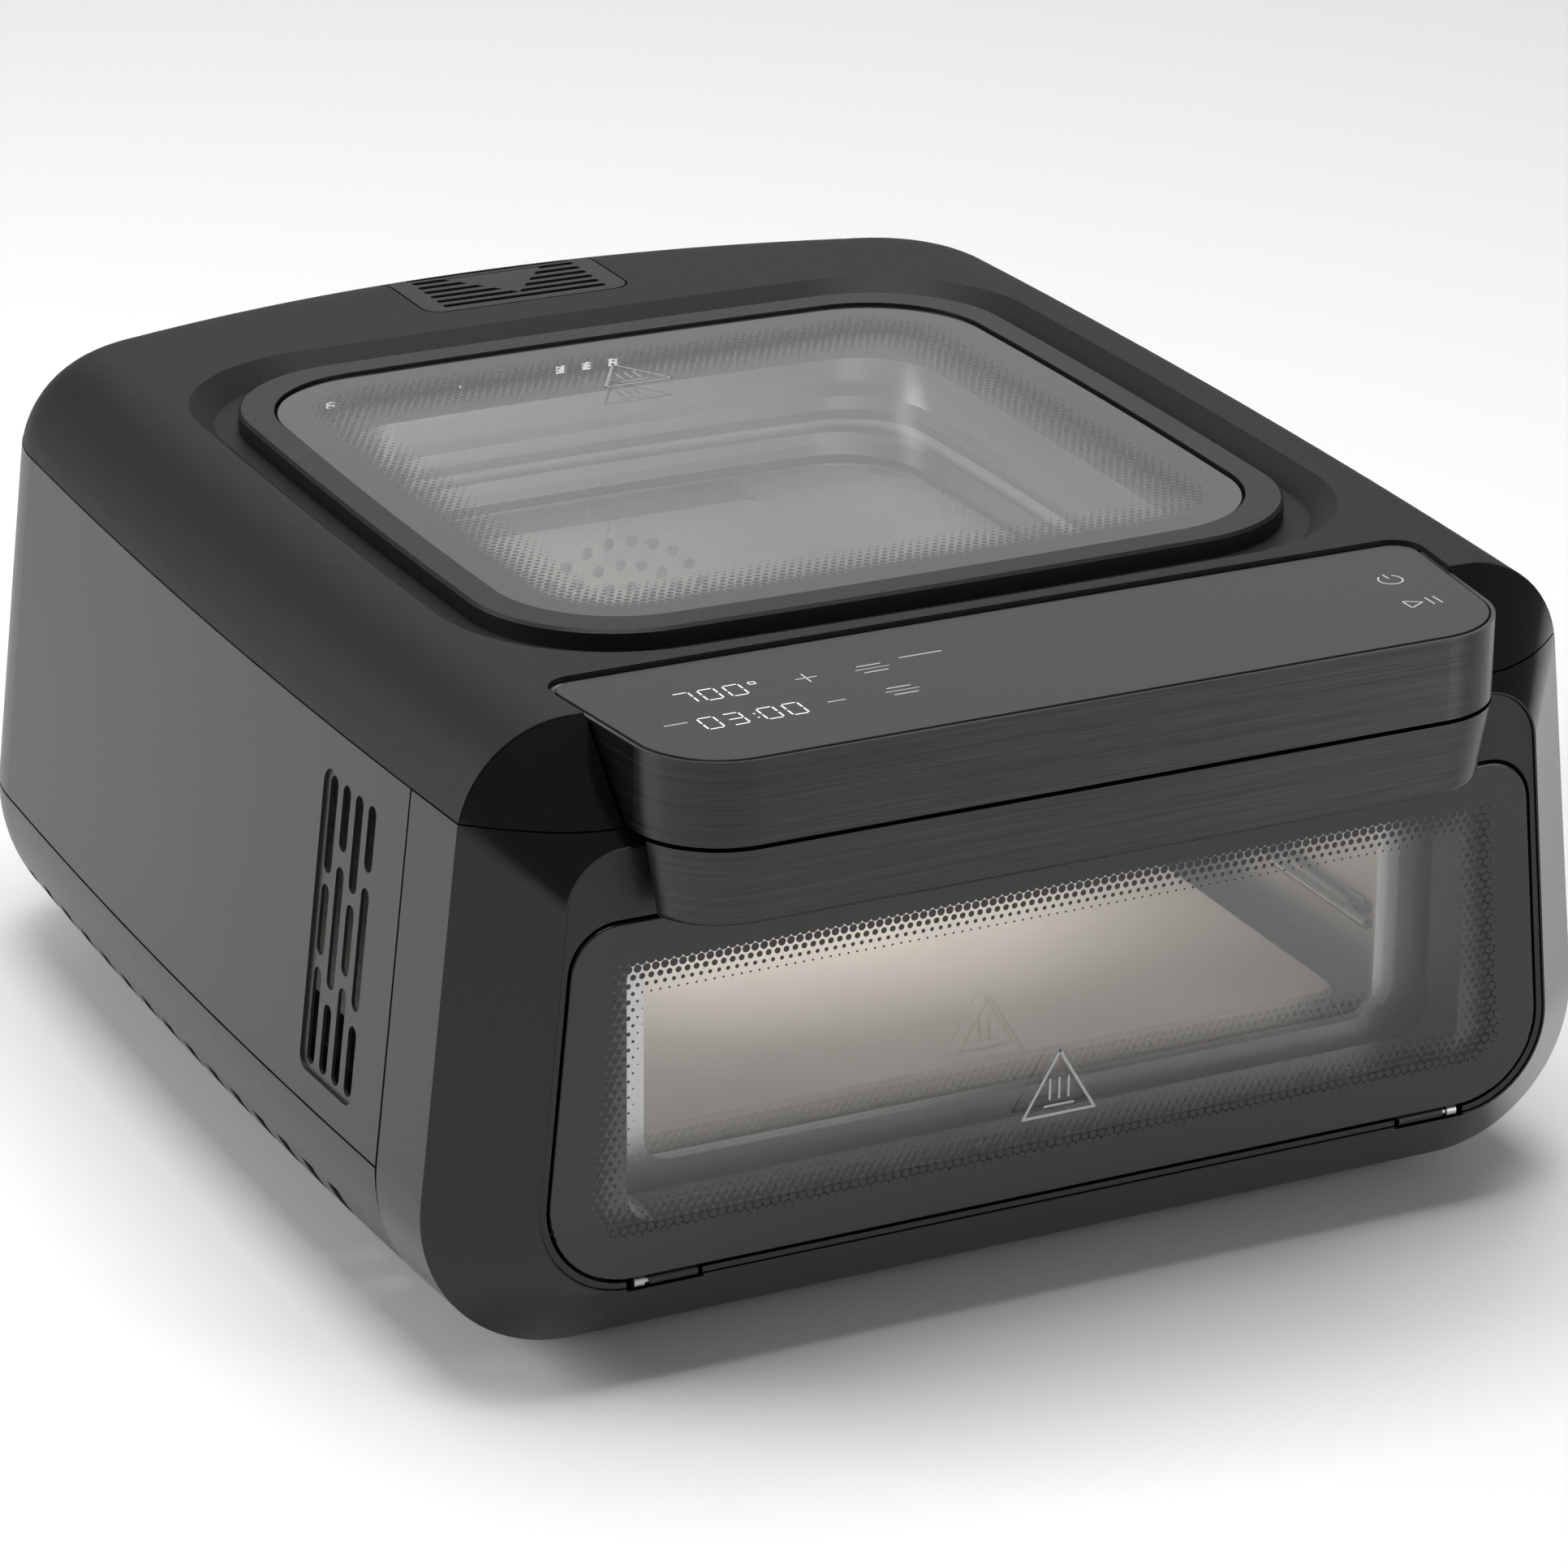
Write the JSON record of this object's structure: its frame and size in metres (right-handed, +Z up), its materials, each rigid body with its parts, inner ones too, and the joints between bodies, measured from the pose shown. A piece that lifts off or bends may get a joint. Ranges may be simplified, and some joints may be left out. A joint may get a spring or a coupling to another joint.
{
  "type": "countertop pizza oven air fryer",
  "caption": "Countertop pizza oven air fryer with drop-down glass door, window in the top and a touch console over the door handle.",
  "frame": {"origin": "middle of the footprint on the floor", "axes": "+X to the object's right as its user sees it, -Y to the front, +Z up"},
  "size_m": [0.4918, 0.5824, 0.2526],
  "materials": {
    "textured_shell": "fine textured",
    "side_shell": "satin",
    "gloss_bezel": "polished",
    "matte_black": "matte",
    "black_brushed_metal": "brushed, tinted black",
    "console_glass": "satin, backed in grey",
    "door_glass": "clear with printed border",
    "window_glass": "smoked with printed border",
    "stainless": "satin",
    "zinc_steel": "plated",
    "stone": "smooth fired",
    "braid": "braided glass fibre",
    "heater_rod": "heat darkened",
    "wool": "mineral wool",
    "circuit": "solder mask",
    "rubber_feet": "matte",
    "fan_plastic": "moulded",
    "motor_steel": "satin",
    "silicone": "matte"
  },
  "bodies": {
    "oven": {"lower_housing": "side_shell", "side_panel_left": "side_shell", "side_panel_right": "side_shell", "rear_panel": "side_shell", "top_cover": "textured_shell", "exhaust_grille": "matte_black", "front_bezel": "gloss_bezel", "cheek_left": "gloss_bezel", "cheek_right": "gloss_bezel", "door_surround": "matte_black", "console_band": "black_brushed_metal", "console_housing": "matte_black", "console_glass": "console_glass", "display_board": "circuit", "window_ring": "matte_black", "top_glass_outer": "window_glass", "window_frame": "stainless", "window_gasket": "silicone", "top_glass_inner": "window_glass", "cavity_liner": "stainless", "mouth_frame": "stainless", "door_gasket": "braid", "rail_left": "stainless", "rail_right": "stainless", "stone_carrier": "stainless", "heater_upper": "heater_rod", "heater_lower": "heater_rod", "temperature_probe": "stainless", "fan_baffle": "stainless", "fan_motor": "motor_steel", "insulation": "wool", "chassis_plate": "zinc_steel", "feet": "rubber_feet", "feet_screws": "zinc_steel", "power_board": "circuit", "power_inlet": "matte_black", "cooling_fan_frame": "fan_plastic", "hinge_bracket_left": "zinc_steel", "hinge_bracket_right": "zinc_steel", "hinge_pins": "zinc_steel", "hinge_screws": "zinc_steel", "rear_screws": "zinc_steel"},
    "door": {"door_glass_outer": "door_glass", "door_frame": "matte_black", "door_glass_inner": "door_glass", "door_inner_panel": "stainless", "handle_band": "black_brushed_metal", "handle_core": "matte_black", "handle_posts": "zinc_steel", "handle_screws": "zinc_steel"},
    "convection_fan": {"convection_fan": "stainless"},
    "cooling_fan": {"cooling_fan": "fan_plastic"},
    "baking_stone": {"baking_stone": "stone"}
  },
  "joints": [
    {"name": "door_hinge", "type": "hinge", "parent": "oven", "child": "door", "pos_m": [0, -0.258, 0.0448], "axis": [1, 0, 0], "range_deg": [0, 88]},
    {"name": "convection_fan_spin", "type": "hinge", "parent": "oven", "child": "convection_fan", "pos_m": [0, 0.14, 0.132], "axis": [0, 1, 0], "continuous": true},
    {"name": "cooling_fan_spin", "type": "hinge", "parent": "oven", "child": "cooling_fan", "pos_m": [-0.02, 0.255, 0.168], "axis": [0, 1, 0], "continuous": true},
    {"name": "stone_lift", "type": "slide", "parent": "oven", "child": "baking_stone", "axis": [0, 0, 1], "range_m": [0, 0.02]}
  ]
}
